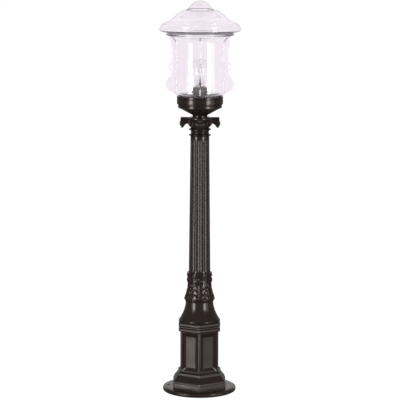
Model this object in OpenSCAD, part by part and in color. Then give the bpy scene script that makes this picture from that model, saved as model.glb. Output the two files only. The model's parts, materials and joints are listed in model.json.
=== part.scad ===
// Garden bollard lamp: a cast hexagonal pedestal, a fluted column and a clear
// lantern with a hat-shaped roof. Origin at the centre of the underside of the
// base flange, +Z up, -Y to the front. Millimetres.

/* [Pedestal] */
// Radius of the round base flange
flange_r = 115.5; // [110:0.5:125]
// Thickness of the base flange
flange_h = 14; // [10:1:18]
// Distance across the flats of the hexagonal pedestal shaft
pedestal_af = 120; // [114:1:124]
// Distance across the flats of the pedestal's plinth
plinth_af = 166; // [156:1:168]
// Height of the pedestal's top face above the ground
pedestal_top_z = 225; // [215:1:235]
// Radius of the anchor bolt circle
anchor_r = 98; // [96:1:101]
// Diameter of the anchor bolt holes
anchor_hole_d = 11; // [9:0.5:12]

/* [Column] */
// Height where the bell section meets the leaf sleeve
sleeve_z = 286; // [280:1:292]
// Height of the top of the leaf sleeve
sleeve_top_z = 380; // [372:1:390]
// Height of the top of the fluted column
column_top_z = 810; // [700:1:880]
// Outer radius of the fluted column at its foot
column_foot_r = 34; // [32:0.5:35]
// Outer radius of the fluted column at its top
column_top_r = 28.5; // [27:0.5:31]
// Number of flutes round the column
flutes = 16; // [12:1:20]
// Depth of each flute
flute_depth = 2.6; // [1.5:0.1:3]

/* [Lantern] */
// Outer radius of the clear lantern body
lantern_r = 77; // [75:1:79]
// Wall thickness of the clear mouldings
wall_t = 3; // [2.5:0.1:4]
// Radius of the roof's brim
brim_r = 127; // [120:1:132]
// Number of scroll fins round the lantern body
fins = 4; // [2:1:6]
// Thickness of a scroll fin
fin_t = 3.6; // [3:0.2:5]
// Radius of the half-round dome on the roof
dome_r = 40; // [36:1:42]

/* [Lamp] */
// Largest radius of the bulb
bulb_r = 30; // [26:0.5:32]
// Number of grip ribs round the lamp holder's ring nut
holder_ribs = 24; // [16:1:30]

/* [Tie tube] */
// Outer diameter of the tie tube that clamps the castings together
tie_d = 20; // [18:0.5:21]
// Bore of the tie tube
tie_bore_d = 15; // [12:0.5:16]

/* [Hidden] */
$fn = 96;

paint = "#3b302d";
clear = [0.86, 0.84, 0.9, 0.35];
steel = "#b9bcc0";
casting_t = 6;                                  // wall of the castings
fit = 0.15;                                     // gap between fitted round pieces
tie_r = tie_d / 2;
column_foot_z = sleeve_top_z - 8;               // the column stands in the sleeve's socket
column_h = column_top_z - column_foot_z;
ring_h = 26;                                    // height of the neck ring
capital_z = column_top_z + ring_h;
capital_h = 30;
cup_z = capital_z + capital_h;                  // underside of the lamp cup
cup_rim_z = cup_z + 70;
cup_r = 72;
gasket_z = cup_z + 43;                          // ledge that carries the lantern's neck
neck_r = 62;                                    // outer radius of the lantern's neck
neck_z = gasket_z + 3;
screw_z = cup_z + 53;                           // height of the three set screws
body_rim_z = cup_z + 262;                       // joint between lantern body and roof
roof_z = body_rim_z + 2;
dome_z = roof_z + 72;                           // flat top of the roof
holder_z = cup_z + 41;                          // underside of the lamp holder
bulb_z = holder_z + 37;                         // tip of the bulb's contact
bulb_h = 108;
plate_z = pedestal_top_z - 8;                   // underside of the pedestal's top plate
bracket_y = 19;                                 // front face of the terminal bracket

// ---------- shared shapes ----------

// Ring or disc from z to z + h
module ring(ro, ri, z, h) {
    translate([0, 0, z])
        difference() {
            cylinder(r = ro, h = h);
            translate([0, 0, -1]) cylinder(r = ri, h = h + 2);
        }
}

// Hexagonal prism with one corner to the front
module hex_prism(af, z, h) {
    translate([0, 0, z]) rotate([0, 0, 30]) cylinder(d = af / cos(30), h = h, $fn = 6);
}

// Plain hexagon nut with a bore
module hex_nut(af, bore_d, z, h) {
    difference() {
        hex_prism(af, z, h);
        translate([0, 0, z - 1]) cylinder(d = bore_d, h = h + 2);
    }
}

// Cheese-head screw along +Z, head on top at z = 0
module cheese_screw(d, head_d, head_h, length) {
    difference() {
        translate([0, 0, -head_h]) cylinder(d = head_d, h = head_h, $fn = 32);
        translate([0, 0, -head_h * 0.2]) cube([head_d + 1, head_d * 0.16, head_h * 0.9], center = true);
    }
    translate([0, 0, -head_h - length]) cylinder(d = d, h = length, $fn = 32);
}

// Points on a circular arc in the r-z plane
function arc(cx, cy, r, a1, a2, n) = [for (i = [0:n]) [cx + r * cos(a1 + (a2 - a1) * i / n),
                                                       cy + r * sin(a1 + (a2 - a1) * i / n)]];

// Smooth step from 0 to 1
function ease(t) = (1 - cos(180 * t)) / 2;

// ---------- castings ----------

module flange_disc() {
    edge_r = 5;
    rotate_extrude()
        polygon(concat([[0, 0], [flange_r - 2, 0]],
                       arc(flange_r - 2, 2, 2, -90, 0, 3),
                       arc(flange_r - edge_r, flange_h - edge_r - 1, edge_r, 0, 90, 6),
                       [[flange_r - 10, flange_h - 1], [flange_r - 13, flange_h], [0, flange_h]]));
}

// Hexagonal moulding, mitred at its corners: half_outline lists [half the flats, z]
module hex_moulding(half_outline) {
    n = len(half_outline);
    intersection_for (a = [0, 60, 120])
        rotate([90, 0, a])
            linear_extrude(height = 4 * flange_r, center = true)
                polygon(concat(half_outline, [for (i = [n - 1:-1:0]) [-half_outline[i][0], half_outline[i][1]]]));
}

// Bevelled panel sunk into one face of the pedestal shaft
module panel_recess(z1, z2) {
    side = pedestal_af * tan(30) - 9;
    depth = casting_t + 0.5;
    translate([pedestal_af / 2 + 0.5, 0, (z1 + z2) / 2])
        rotate([0, -90, 0])
            linear_extrude(height = depth, scale = [0.8, 0.58], slices = 1, segments = 4, $fn = 4)
                square([z2 - z1, side], center = true);
}

module pedestal() {
    shaft_z = 67;
    shaft_w = pedestal_af / 2;
    plinth_w = plinth_af / 2;
    plinth_top_z = flange_h + 18;
    foot_w = shaft_w + 7.5;
    foot_z = shaft_z - 10;
    cornice_w = shaft_w + 5.5;
    cornice_z = pedestal_top_z - 29;
    cavity_af = pedestal_af - 4 * casting_t;
    ogee = [for (i = [0:6]) [plinth_w + (foot_w - plinth_w) * ease(i / 6),
                             plinth_top_z + (foot_z - plinth_top_z) * i / 6]];
    color(paint)
    difference() {
        union() {
            flange_disc();
            hex_moulding(concat(
                [[plinth_w, flange_h - 4]], ogee,
                [[foot_w, shaft_z - 6], [shaft_w, shaft_z], [shaft_w, cornice_z - 2], [cornice_w, cornice_z],
                 [cornice_w, cornice_z + 10], [cornice_w - 4, cornice_z + 12], [cornice_w - 4, cornice_z + 15],
                 [cornice_w, cornice_z + 17], [cornice_w, pedestal_top_z - 2], [cornice_w - 2, pedestal_top_z]]));
        }
        for (a = [0:60:300])
            rotate([0, 0, a]) panel_recess(shaft_z + 2, cornice_z - 4);
        hex_prism(cavity_af, -1, plate_z + 1);
        translate([0, 0, plate_z - 1]) cylinder(d = tie_d + 1, h = 10);
        for (a = [60:120:300])
            rotate([0, 0, a]) translate([anchor_r, 0, -1]) cylinder(d = anchor_hole_d, h = flange_h + 2);
        for (x = [-12, 12])
            translate([x, 32, plate_z - 1]) cylinder(d = 4.2, h = 7);
    }
}

module bell_section() {
    z0 = pedestal_top_z;
    h = sleeve_z - z0;
    foot_r = pedestal_af / 2 + 4;
    head_r = 43.5;
    curve = [for (i = [0:12]) let (t = i / 12)
        [head_r + (foot_r - head_r) * pow(1 - t, 1.75), z0 + 3 + (h - 3) * t]];
    inner = [for (i = [12:-1:0]) curve[i] - [casting_t, 0]];
    color(paint) {
        rotate_extrude()
            polygon(concat([[foot_r, z0]], curve, inner, [[foot_r - casting_t, z0]]));
        ring(head_r - 3, tie_r + 0.5, sleeve_z - 6, 6);
    }
}

// One pointed leaf, upright, cut from a radial slab
module leaf_outline(w, h) {
    polygon([[-w * 0.3, 0], [w * 0.3, 0], [w / 2, h * 0.35], [w * 0.38, h * 0.7], [0, h],
             [-w * 0.38, h * 0.7], [-w / 2, h * 0.35]]);
}

module sleeve_profile(grow) {
    z0 = sleeve_z;
    polygon(concat(
        [[tie_r + 4, z0], [44.5, z0], [45, z0 + 3], [46 + grow, z0 + 6]],
        arc(46 + grow, z0 + 9, 2.6, -60, 80, 5),
        [for (i = [0:8]) let (t = i / 8) [46 + grow - 10.5 * ease(t), z0 + 13 + 40 * t]],
        [[35.5 + grow, z0 + 70], [37, z0 + 80]],
        arc(36.5, sleeve_top_z - 6, 3, -70, 70, 6),
        [[36, sleeve_top_z], [tie_r + 4, sleeve_top_z]]));
}

module leaf_sleeve() {
    leaves = 8;
    color(paint)
    difference() {
        union() {
            rotate_extrude() sleeve_profile(0);
            intersection() {
                rotate_extrude() sleeve_profile(2);
                for (i = [0:leaves - 1])
                    rotate([0, 0, i * 360 / leaves]) translate([0, 0, sleeve_z + 14])
                        rotate([90, 0, 0]) linear_extrude(height = 70) leaf_outline(22, 50);
            }
        }
        translate([0, 0, sleeve_z + 6]) cylinder(r = 28, h = column_foot_z - sleeve_z - 12);
        translate([0, 0, column_foot_z - 7]) cylinder(r = 22, h = 20);
        translate([0, 0, column_foot_z]) cylinder(r = column_foot_r + fit, h = 20);
    }
}

function flute_r(a, r) = r - flute_depth * pow(abs(sin(a * flutes / 2)), 0.8);

module column() {
    points = flutes * 10;
    turn = 360 / points;
    color(paint)
    difference() {
        translate([0, 0, column_foot_z])
            linear_extrude(height = column_h, scale = column_top_r / column_foot_r)
                polygon([for (i = [0:points - 1]) flute_r(i * turn, column_foot_r) * [cos(i * turn), sin(i * turn)]]);
        translate([0, 0, column_foot_z - 1]) cylinder(r1 = column_foot_r - 8, r2 = column_top_r - 7.5, h = column_h + 2);
    }
}

module neck_ring() {
    z0 = column_top_z;
    waist_r = 27;
    lip_r = 34.5;
    color(paint)
    rotate_extrude()
        polygon(concat(
            [[tie_r + 0.5, z0], [29, z0], [31, z0 + 1], [lip_r, z0 + 3.5], [lip_r, z0 + 5], [29, z0 + 8.5]],
            [for (i = [0:6]) let (a = i * 30) [waist_r + 1.6 * sin(a), z0 + 9.5 + i]],
            [[29, z0 + 17.5], [lip_r, z0 + 21], [lip_r, z0 + 22.5], [30, z0 + ring_h], [tie_r + 0.5, z0 + ring_h]]));
}

// Side view of one leaf bracket, r outwards and z up from the capital's foot
module bracket_outline() {
    polygon(concat(
        [[20, 28], [26, 28], [26, 33.5], [59.5, 33.5], [61, 25], [63, 11], [61, 5]],
        arc(52.5, 7, 7.5, -30, -150, 5),
        arc(38.5, 9, 6, 20, 160, 6),
        [[30, 4], [26, -0.01], [20, -0.01]]));
}

module capital() {
    z0 = capital_z;
    rim_h = capital_h + 4;
    color(paint) {
        difference() {
            union() {
                rotate_extrude()
                    polygon(concat([[0, z0]],
                        [for (i = [0:8]) let (t = i / 8) [27 - 3.5 * sin(150 * t) + 6 * pow(t, 3), z0 + 25 * t]],
                        [[34, z0 + 25], [36, z0 + 27.5], [36, z0 + rim_h - 1], [34.5, z0 + rim_h], [25.5, z0 + rim_h],
                         [25.5, z0 + capital_h], [0, z0 + capital_h]]));
                for (a = [0:90:270])
                    rotate([0, 0, a]) translate([0, 8, z0]) rotate([90, 0, 0])
                        linear_extrude(height = 16) bracket_outline();
            }
            translate([0, 0, z0 - 1]) cylinder(r = tie_r + 0.5, h = capital_h + 2);
        }
    }
}

module lamp_cup() {
    z0 = cup_z;
    boss_r = 46;
    color(paint)
    difference() {
        union() {
            rotate_extrude()
                polygon([[tie_r + 0.5, z0], [24, z0], [23, z0 + 4], [23, z0 + 9], [26, z0 + 11],
                         [63, z0 + 32], [67, z0 + 33], [68.5, z0 + 34.5], [68.5, z0 + 41], [67.5, z0 + 42.5],
                         [67.5, z0 + 44], [71, z0 + 44], [cup_r, z0 + 45], [cup_r, z0 + 47],
                         [cup_r - 0.8, z0 + 47.5], [cup_r - 0.8, z0 + 48.5], [cup_r, z0 + 49],
                         [cup_r, z0 + 62], [cup_r - 0.8, z0 + 62.5], [cup_r - 0.8, z0 + 63.5], [cup_r, z0 + 64],
                         [cup_r, z0 + 69], [cup_r - 1, z0 + 70], [66, z0 + 70], [65, z0 + 69],
                         [65, z0 + 43], [56, z0 + 43], [56, z0 + 37], [22, z0 + 17], [tie_r + 0.5, z0 + 17]]);
            for (x = [-boss_r, boss_r])
                translate([x, 0, z0 + 27]) cylinder(r = 5, h = 12);
        }
        for (x = [-boss_r, boss_r])
            translate([x, 0, z0 + 31]) cylinder(d = 3.3, h = 9);
        for (a = [-90, 30, 150])
            rotate([0, 0, a]) translate([60, 0, screw_z]) rotate([0, 90, 0]) cylinder(r = 2.55, h = 15);
    }
}

// ---------- tie tube ----------

module tie_tube() {
    color(steel) ring(tie_r, tie_bore_d / 2, plate_z - 17, cup_z + 35 - (plate_z - 17));
}

module lower_washer() { color(steel) ring(18, tie_r + fit, plate_z - 2.5, 2.5); }

module lower_nut() { color(steel) hex_nut(30, tie_d + 2 * fit, plate_z - 12.5, 10); }

module upper_washer() { color(steel) ring(18, tie_r + fit, cup_z + 17, 2.5); }

module upper_nut() { color(steel) hex_nut(30, tie_d + 2 * fit, cup_z + 19.5, 10); }

// ---------- wiring in the pedestal ----------

module terminal_bracket() {
    color(steel)
    difference() {
        union() {
            translate([-18, bracket_y, plate_z - 90]) cube([36, 2, 90]);
            translate([-18, bracket_y, plate_z - 2]) cube([36, 20, 2]);
        }
        for (x = [-12, 12])
            translate([x, 32, plate_z - 3]) cylinder(d = 4.5, h = 4, $fn = 32);
        for (x = [-12, 12])
            translate([x, bracket_y - 1, plate_z - 48]) rotate([-90, 0, 0]) cylinder(d = 3.4, h = 4, $fn = 32);
        translate([0, bracket_y - 1, plate_z - 80]) rotate([-90, 0, 0]) cylinder(d = 5.2, h = 4, $fn = 32);
    }
}

module bracket_screws() {
    color(steel)
    for (x = [-12, 12])
        translate([x, 32, plate_z - 2]) mirror([0, 0, 1]) translate([0, 0, 2.4]) cheese_screw(3.9, 7, 2.4, 7);
}

module terminal_block() {
    color("#e6e2d6")
    difference() {
        translate([-17, -3, plate_z - 66]) cube([34, bracket_y + 3, 36]);
        for (x = [-9, 0, 9], z = [-58, -38])
            translate([x, -4, plate_z + z]) rotate([-90, 0, 0]) cylinder(d = 5.4, h = 8, $fn = 32);
        for (x = [-12, 12])
            translate([x, -4, plate_z - 48]) rotate([-90, 0, 0]) cylinder(d = 3.2, h = 30, $fn = 32);
        for (x = [-12, 12])
            translate([x, -4, plate_z - 48]) rotate([-90, 0, 0]) cylinder(d = 6.4, h = 9, $fn = 32);
        translate([0, 6, plate_z - 35]) cylinder(d = 8.4, h = 8);
        for (x = [-9, 0, 9])
            translate([x, 6, plate_z - 67]) cylinder(d = 4.5, h = 9, $fn = 32);
    }
}

module block_screws() {
    color(steel)
    for (x = [-12, 12])
        translate([x, 2.6, plate_z - 48]) rotate([90, 0, 0]) cheese_screw(3, 5.8, 2.4, 18);
}

module terminal_screws() {
    color("goldenrod")
    for (x = [-9, 0, 9], z = [-58, -38])
        translate([x, -0.5, plate_z + z]) rotate([90, 0, 0]) cheese_screw(3, 5, 2, 2.5);
}

module earth_screw() {
    color(steel)
    translate([0, bracket_y - 4.8, plate_z - 80]) rotate([90, 0, 0]) cheese_screw(5, 9, 3.4, 9.6);
}

module earth_washer() {
    color(steel)
    translate([0, bracket_y, plate_z - 80]) rotate([90, 0, 0]) ring(5, 2.65, 0, 1.4);
}

// Lead from the terminal block up the tie tube to the lamp holder
module inner_cable() {
    color("#2b2b2b") {
        translate([0, 0, plate_z - 20]) cylinder(d = 7, h = holder_z + 6 - (plate_z - 20), $fn = 32);
        translate([0, 6, plate_z - 33]) cylinder(d = 7, h = 7, $fn = 32);
        hull() {
            translate([0, 6, plate_z - 26]) cylinder(d = 7, h = 0.1, $fn = 24);
            translate([0, 0, plate_z - 20]) cylinder(d = 7, h = 0.1, $fn = 24);
        }
    }
}

// ---------- lamp holder ----------

module holder_bridge() {
    color(steel)
    difference() {
        translate([-53, -9, cup_z + 39]) cube([106, 18, 2]);
        translate([0, 0, cup_z + 38]) cylinder(d = 12, h = 4, $fn = 32);
        for (x = [-46, 46])
            translate([x, 0, cup_z + 38]) cylinder(d = 4.2, h = 4, $fn = 32);
        for (x = [-14, 14])
            translate([x, 0, cup_z + 38]) cylinder(d = 3.4, h = 4, $fn = 32);
    }
}

module bridge_screws() {
    color(steel)
    for (x = [-46, 46])
        translate([x, 0, cup_z + 43.4]) cheese_screw(3, 6.6, 2.4, 9);
}

module holder_screws() {
    color(steel)
    for (x = [-14, 14])
        translate([x, 0, holder_z - 2]) mirror([0, 0, 1]) translate([0, 0, 2]) cheese_screw(3, 5.4, 2, 9);
}

module holder_body() {
    color("#8a8178")
    difference() {
        union() {
            translate([0, 0, holder_z]) cylinder(r = 19, h = 34);
            translate([0, 0, holder_z + 34]) cylinder(r = 21, h = 7);
            translate([0, 0, holder_z + 41]) cylinder(r = 17.4, h = 16);
        }
        translate([0, 0, holder_z + 33]) cylinder(r = 14.2, h = 30);
        translate([0, 0, holder_z - 1]) cylinder(d = 8, h = 8);
        for (x = [-14, 14])
            translate([x, 0, holder_z - 1]) cylinder(d = 3.1, h = 9, $fn = 32);
    }
}

// Ribbed ring nut with a thin flange at its foot, on the holder's upper collar
module holder_ring() {
    z0 = holder_z + 41;
    grip_r = 20.6;
    color("#5b534c")
    difference() {
        union() {
            translate([0, 0, z0]) cylinder(r = 31, h = 2);
            translate([0, 0, z0]) cylinder(r = grip_r, h = 15);
            for (i = [0:holder_ribs - 1])
                rotate([0, 0, i * 360 / holder_ribs]) translate([grip_r, 0, z0])
                    cylinder(r = 1.4, h = 15, $fn = 16);
        }
        translate([0, 0, z0 - 1]) cylinder(r = 17.4 + fit, h = 17);
    }
}

module screw_shell() {
    color("silver") ring(14.05, 13.5, holder_z + 35, 21);
}

module centre_contact() {
    color("goldenrod") {
        translate([-4, -7, holder_z + 33]) cube([8, 14, 1]);
        translate([0, 0, holder_z + 34]) cylinder(r = 3.5, h = 2.6, $fn = 32);
    }
}

// ---------- seals and set screws ----------

module cup_gasket() { color("#1d1d1d") ring(64.5, 58, gasket_z, 3); }

module roof_gasket() { color("#1d1d1d") ring(103, 98, body_rim_z, 2); }

module set_screw(a) {
    color(steel)
    rotate([0, 0, a]) translate([0, 0, screw_z]) rotate([0, 90, 0])
        difference() {
            translate([0, 0, neck_r + 0.4]) cylinder(r = 2.5, h = 9.2, $fn = 48);
            translate([0, 0, neck_r + 9.4]) cube([0.9, 6, 2.2], center = true);
        }
}

module set_screw_front() { set_screw(-90); }

module set_screw_right() { set_screw(30); }

module set_screw_left() { set_screw(150); }

// ---------- clear lantern ----------

// Trumpet mouth at the top of the lantern body, as an inner or outer line
function trumpet(off) = [for (i = [0:8]) let (t = i / 8)
    [lantern_r - off + 29 * pow(t, 2.3), body_rim_z - 30 + 27 * t + 0.4 * off * t]];

// Outline of one scroll fin: brim to straight edge, eye loop, pinch and lower swell
module fin_outline() {
    z0 = cup_z;
    difference() {
        polygon(concat(
            [[lantern_r - 1, z0 + 244], [95, z0 + 250], [92, z0 + 238], [89.5, z0 + 226], [88, z0 + 216]],
            [[88, z0 + 176]],
            arc(90, z0 + 162, 8.8, 85, -50, 8),
            [[89.5, z0 + 147], [88.5, z0 + 143]],
            arc(87, z0 + 108, 19.3, 78, -62, 10),
            [[84, z0 + 81.5], [76, z0 + 76], [71.5, z0 + 72.8], [69, z0 + 76]],
            [[lantern_r - 1, z0 + 90]]));
        translate([90.5, z0 + 164]) circle(r = 3.2, $fn = 24);
        translate([90.5, z0 + 158.5]) circle(r = 3.2, $fn = 24);
    }
}

module lantern_body() {
    z0 = cup_z;
    shoulder = 9;
    shoulder_z = z0 + 72.5;
    color(clear) {
        difference() {
            union() {
                rotate_extrude()
                    polygon(concat([[0, neck_z], [neck_r, neck_z], [neck_r, z0 + 71.5],
                                    [lantern_r - shoulder, shoulder_z]],
                                   arc(lantern_r - shoulder, shoulder_z + shoulder, shoulder, -90, 0, 6),
                                   trumpet(0), [[107, body_rim_z], [0, body_rim_z]]));
                for (i = [0:fins - 1])
                    rotate([0, 0, i * 360 / fins]) translate([0, fin_t / 2, 0]) rotate([90, 0, 0])
                        linear_extrude(height = fin_t) fin_outline();
            }
            rotate_extrude()
                polygon(concat([[0, neck_z - 1], [neck_r - wall_t, neck_z - 1], [neck_r - wall_t, z0 + 73.5],
                                [lantern_r - shoulder, shoulder_z + wall_t]],
                               arc(lantern_r - shoulder, shoulder_z + shoulder, shoulder - wall_t, -90, 0, 6),
                               [for (q = trumpet(wall_t)) [min(q[0], 97), q[1]]], [[97, body_rim_z + 1], [0, body_rim_z + 1]]));
        }
    }
}

// Roof surface from the brim's upper crease to the flat top, offset inwards by off
function roof_slope(off) = concat(
    [for (i = [0:8]) let (t = i / 8) [118 - 33 * t - off * 0.5, roof_z + 30 + 17.5 * pow(t, 1.35) - off]],
    [[71 - off * 0.6, roof_z + 60 - off], [62 - off * 0.6, roof_z + 68 - off]],
    arc(54 - off * 0.3, roof_z + 66 - off, 6, 40, 90, 4));

module roof() {
    z0 = roof_z;
    color(clear)
    rotate_extrude()
        polygon(concat(
            [[96, z0 - 5], [96, z0], [108, z0], [114, z0 + 4]],
            arc(brim_r - 8, z0 + 13, 8, -70, 60, 8),
            roof_slope(0), [[0, dome_z], [0, dome_z - wall_t]],
            [for (i = [len(roof_slope(wall_t)) - 1:-1:0]) roof_slope(wall_t)[i]],
            arc(brim_r - 8, z0 + 13, 5, 60, -70, 8),
            [[111, z0 + 6], [93.5, z0 + 6], [93.5, z0 - 5]]));
}

module roof_dome() {
    centre_z = dome_z - 10;
    color(clear)
    difference() {
        rotate_extrude()
            polygon(concat([[0, dome_z], [dome_r + 3, dome_z], [dome_r + 3, dome_z + 1.5], [dome_r - 0.6, dome_z + 3]],
                           arc(0, centre_z, dome_r, 19, 90, 14)));
        rotate_extrude()
            polygon(concat([[0, dome_z - 1], [dome_r - 4, dome_z - 1]], arc(0, centre_z, dome_r - wall_t, 17, 90, 12)));
    }
}

// ---------- bulb ----------

// Outline of the bulb's glass, offset inwards by off
function bulb_line(off) = concat(
    [[12.5 - off, bulb_z + 20], [12.6 - off, bulb_z + 26.5], [17 - off, bulb_z + 34], [22.5 - off, bulb_z + 43],
     [27 - off, bulb_z + 54], [bulb_r - 1 - off, bulb_z + 64]],
    arc(0, bulb_z + bulb_h - bulb_r, bulb_r - off, -14, 90, 16));

module bulb_cap() {
    color("silver")
    rotate_extrude()
        polygon(concat([[5.5, bulb_z + 3], [9, bulb_z + 4]],
                       [for (i = [0:11]) [13.15 - 0.7 * (i % 2), bulb_z + 6 + i * 1.2]],
                       [[12.8, bulb_z + 20.5], [13.9, bulb_z + 25], [13.9, bulb_z + 26], [12.8, bulb_z + 26]],
                       [[12.8, bulb_z + 19.8], [11, bulb_z + 19.8], [11, bulb_z + 6], [5.5, bulb_z + 5]]));
}

module bulb_contact() {
    color("#202020") ring(5.4, 0.01, bulb_z + 1.2, 3.6);
    color("silver") translate([0, 0, bulb_z]) cylinder(r1 = 2.5, r2 = 4, h = 1.2, $fn = 32);
}

module bulb_glass() {
    color(clear)
    rotate_extrude()
        polygon(concat(bulb_line(0), [for (i = [len(bulb_line(0.9)) - 1:-1:0]) bulb_line(0.9)[i]]));
}

module bulb_stem() {
    color(clear) {
        translate([0, 0, bulb_z + 21]) cylinder(r1 = 8, r2 = 3, h = 14);
        translate([0, 0, bulb_z + 35]) cylinder(r = 2, h = 32, $fn = 32);
    }
}

// Two leads that splay out from the stem's head, with the coiled filament between them
module bulb_filament() {
    half_w = 13;
    head_z = bulb_z + 67.3;
    rise = 14;
    tilt = atan((half_w - 1) / rise);
    color("#8d8a84") {
        for (a = [0, 180])
            rotate([0, 0, a]) translate([1, 0, head_z]) rotate([0, tilt, 0])
                cylinder(r = 0.4, h = rise / cos(tilt), $fn = 16);
        translate([-half_w, 0, head_z + rise]) rotate([0, 90, 0]) cylinder(r = 0.7, h = 2 * half_w, $fn = 24);
    }
}

pedestal();
bell_section();
leaf_sleeve();
column();
neck_ring();
capital();
lamp_cup();
tie_tube();
lower_washer();
lower_nut();
upper_washer();
upper_nut();
terminal_bracket();
bracket_screws();
terminal_block();
block_screws();
terminal_screws();
earth_screw();
earth_washer();
inner_cable();
holder_bridge();
bridge_screws();
holder_body();
holder_ring();
screw_shell();
centre_contact();
holder_screws();
cup_gasket();
roof_gasket();
set_screw_front();
set_screw_right();
set_screw_left();
lantern_body();
roof();
roof_dome();
bulb_cap();
bulb_contact();
bulb_glass();
bulb_stem();
bulb_filament();
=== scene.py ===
"""Looks of the garden bollard lamp: painted castings, a clear lantern and its lamp, in a white studio."""
import json
from math import atan2, cos, degrees, exp, hypot, pi, radians, sin, sqrt, tan

import bmesh
import bpy
from mathutils import Matrix, Vector


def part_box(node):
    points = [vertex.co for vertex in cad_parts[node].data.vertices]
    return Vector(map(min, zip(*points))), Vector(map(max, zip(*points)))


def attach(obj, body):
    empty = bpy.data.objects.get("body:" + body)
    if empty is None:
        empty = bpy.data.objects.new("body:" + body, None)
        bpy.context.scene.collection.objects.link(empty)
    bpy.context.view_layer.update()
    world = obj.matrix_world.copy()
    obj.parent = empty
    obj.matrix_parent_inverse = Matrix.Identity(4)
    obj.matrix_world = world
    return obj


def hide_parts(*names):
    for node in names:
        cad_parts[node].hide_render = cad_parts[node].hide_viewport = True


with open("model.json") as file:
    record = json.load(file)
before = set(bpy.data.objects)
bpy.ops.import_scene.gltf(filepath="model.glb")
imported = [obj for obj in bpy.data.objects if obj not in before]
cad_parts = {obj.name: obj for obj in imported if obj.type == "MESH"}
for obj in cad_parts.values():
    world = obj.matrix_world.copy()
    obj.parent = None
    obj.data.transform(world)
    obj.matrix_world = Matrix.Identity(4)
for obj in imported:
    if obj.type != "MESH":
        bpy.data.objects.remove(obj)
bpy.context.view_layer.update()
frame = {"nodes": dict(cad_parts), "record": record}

MM = 0.001                      # lengths below are in millimetres
SMOOTH_ANGLE = radians(34)      # edges sharper than this stay crisp


# ---------- measures taken from the frame ----------

def low(node):
    """Height of a node's underside, in mm."""
    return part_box(node)[0].z / MM


def high(node):
    """Height of a node's top, in mm."""
    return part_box(node)[1].z / MM


def reach(node):
    """How far a node reaches along +X, in mm."""
    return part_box(node)[1].x / MM


FLANGE_R = reach("pedestal")
PEDESTAL_TOP = high("pedestal")
BELL_TOP = high("bell_section")
SLEEVE_TOP = high("leaf_sleeve")
COLUMN_LOW = low("column")
COLUMN_TOP = high("column")
RING_TOP = high("neck_ring")
CUP_LOW = low("lamp_cup")
CUP_TOP = high("lamp_cup")
CUP_R = reach("lamp_cup")
TIE_R = reach("tie_tube")
BODY_LOW = low("lantern_body")
BODY_TOP = high("lantern_body")
BRIM_R = reach("roof")
ROOF_TOP = high("roof")
DOME_TOP = high("roof_dome")
BULB_TOP = high("bulb_glass")
BULB_R = reach("bulb_glass")
TUBE_GAP = 0.5                  # between the tie tube and the castings' bores


# ---------- outlines ----------

STRAIGHT = radians(88)          # half the angle at a corner that counts as no corner
EDGE_SHARE = 0.48               # most of an edge that the rounding of one end may use


def arc(cx, cy, r, start, end, steps):
    """Points on an arc from angle start to end, in degrees."""
    turn = [radians(start + (end - start) * i / steps) for i in range(steps + 1)]
    return [(cx + r * cos(a), cy + r * sin(a)) for a in turn]


def spline(points, steps):
    """Smooth curve through the points, as a Catmull-Rom chain."""
    ends = [points[0], *points, points[-1]]
    line = [points[0]]
    for a, b, c, d in zip(ends, ends[1:], ends[2:], ends[3:]):
        for i in range(1, steps + 1):
            t = i / steps
            line.append(tuple(
                0.5 * (2 * q + (r - p) * t + (2 * p - 5 * q + 4 * r - s) * t * t
                       + (3 * q - p - 3 * r + s) * t ** 3)
                for p, q, r, s in zip(a, b, c, d)))
    return line


def rounded(points, radius, steps=4, closed=True):
    """The outline with its corners rounded. A point's own third number, if any, is its radius."""
    out = []
    count = len(points)
    for i, point in enumerate(points):
        here = Vector(point[:2])
        wanted = point[2] if len(point) > 2 else radius
        if wanted <= 0 or (not closed and i in (0, count - 1)):
            out.append(tuple(here))
            continue
        before = Vector(points[i - 1][:2]) - here
        after = Vector(points[(i + 1) % count][:2]) - here
        if before.length < 1e-6 or after.length < 1e-6:
            out.append(tuple(here))
            continue
        half = before.angle(after) / 2
        if half > STRAIGHT:
            out.append(tuple(here))
            continue
        back = min(wanted / tan(half), EDGE_SHARE * before.length, EDGE_SHARE * after.length)
        a = here + before.normalized() * back
        b = here + after.normalized() * back
        for k in range(steps + 1):
            t = k / steps
            out.append(tuple((1 - t) ** 2 * a + 2 * t * (1 - t) * here + t * t * b))
    return out


def smooth_step(t):
    """Eases from 0 to 1 as t goes from 0 to 1."""
    t = min(max(t, 0.0), 1.0)
    return t * t * (3 - 2 * t)


# ---------- meshes ----------

MAX_WARP = 2e-5                 # how far off its plane a quad may be before it is split, in metres


def finished(name, mesh):
    """A linked object with smooth shading, crisp only at real corners."""
    bm = bmesh.new()
    bm.from_mesh(mesh)
    bmesh.ops.remove_doubles(bm, verts=bm.verts, dist=1e-6)
    bmesh.ops.dissolve_degenerate(bm, dist=1e-7, edges=bm.edges)
    bmesh.ops.recalc_face_normals(bm, faces=bm.faces)
    bm.to_mesh(mesh)
    bm.free()
    for face in mesh.polygons:
        face.use_smooth = True
    mesh.set_sharp_from_angle(angle=SMOOTH_ANGLE)
    obj = bpy.data.objects.new(name, mesh)
    bpy.context.scene.collection.objects.link(obj)
    return obj


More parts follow.
